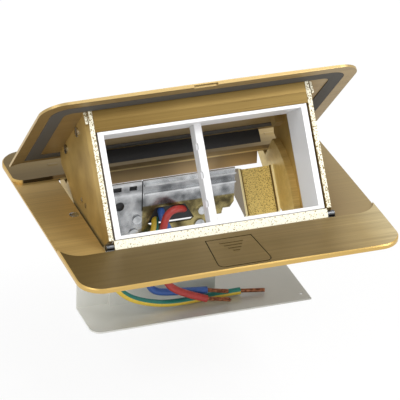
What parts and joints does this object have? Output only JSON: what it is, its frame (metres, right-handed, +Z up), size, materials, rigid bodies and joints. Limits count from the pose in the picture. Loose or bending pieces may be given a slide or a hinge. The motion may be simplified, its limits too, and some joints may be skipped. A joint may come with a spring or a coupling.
{
  "type": "floor socket box",
  "caption": "Pop-up brass floor box: crowned base plate, sprung lid carrying a two-window module frame, press latch and a cable tray with loose conductors.",
  "frame": {"origin": "centre of the four claw holes in the underside of the base plate, level with the finished floor", "axes": "+X to the right along the hinge axis, +Y to the hinge side at the back, +Z up out of the floor"},
  "size_m": [0.15, 0.13, 0.1164],
  "materials": {
    "brushed_brass": "brushed, antique brass",
    "seal_rubber": "matt black rubber",
    "cast_brass": "raw casting, speckled",
    "zinc_plate": "zinc plated, folded",
    "bright_steel": "bright plated",
    "spring_steel": "drawn spring wire",
    "white_plastic": "white moulding, satin",
    "black_plastic": "black moulding",
    "tray_sheet": "dull galvanised sheet",
    "red_insulation": "red insulation",
    "blue_insulation": "blue insulation",
    "earth_insulation": "green insulation with a yellow stripe",
    "bare_copper": "bare copper, slightly tarnished"
  },
  "bodies": {
    "base": {"base_frame": "brushed_brass", "hinge_pins": "bright_steel", "hinge_springs": "spring_steel", "rest_studs": "bright_steel", "latch_housing": "black_plastic", "latch_screws": "bright_steel"},
    "button": {"latch_button": "brushed_brass", "button_spring": "spring_steel"},
    "latch": {"latch_slider": "zinc_plate"},
    "carriage": {"lid": "brushed_brass", "lid_gasket": "seal_rubber", "rear_seal": "seal_rubber", "fascia": "brushed_brass", "cheek_left": "cast_brass", "cheek_right": "cast_brass", "cheek_screws": "bright_steel", "hinge_arm_left": "cast_brass", "hinge_arm_right": "cast_brass", "arm_rivets": "cast_brass", "sill_strip": "cast_brass", "stop_pins": "bright_steel", "module_frame": "white_plastic", "frame_screws": "cast_brass", "cable_trough": "cast_brass", "tray_bracket": "zinc_plate", "bracket_screws": "bright_steel", "cable_tray": "tray_sheet", "tray_rivets": "bright_steel", "cable_clamp": "black_plastic", "clamp_screws": "bright_steel", "wire_red": "red_insulation", "wire_blue": "blue_insulation", "wire_earth": "earth_insulation", "core_red": "bare_copper", "core_blue": "bare_copper", "core_earth": "bare_copper"}
  },
  "joints": [
    {"name": "lid_hinge", "type": "hinge", "parent": "base", "child": "carriage", "pos_m": [0, 0.04725, -0.0006], "axis": [1, 0, 0], "range_deg": [0, 47.8], "stiffness_Nm_per_rad": 0.45, "springref_deg": -68.75},
    {"name": "button_press", "type": "slide", "parent": "base", "child": "button", "axis": [0, 0, -1], "range_m": [0, 0.002], "stiffness_N_per_m": 400, "springref_m": -0.002, "deforming": ["button_spring"]},
    {"name": "latch_draw", "type": "slide", "parent": "base", "child": "latch", "axis": [0, -1, 0], "range_m": [0, 0.002]}
  ],
  "couplings": [
    {"joint": "latch_draw", "follows": "button_press", "ratio": 1}
  ]
}
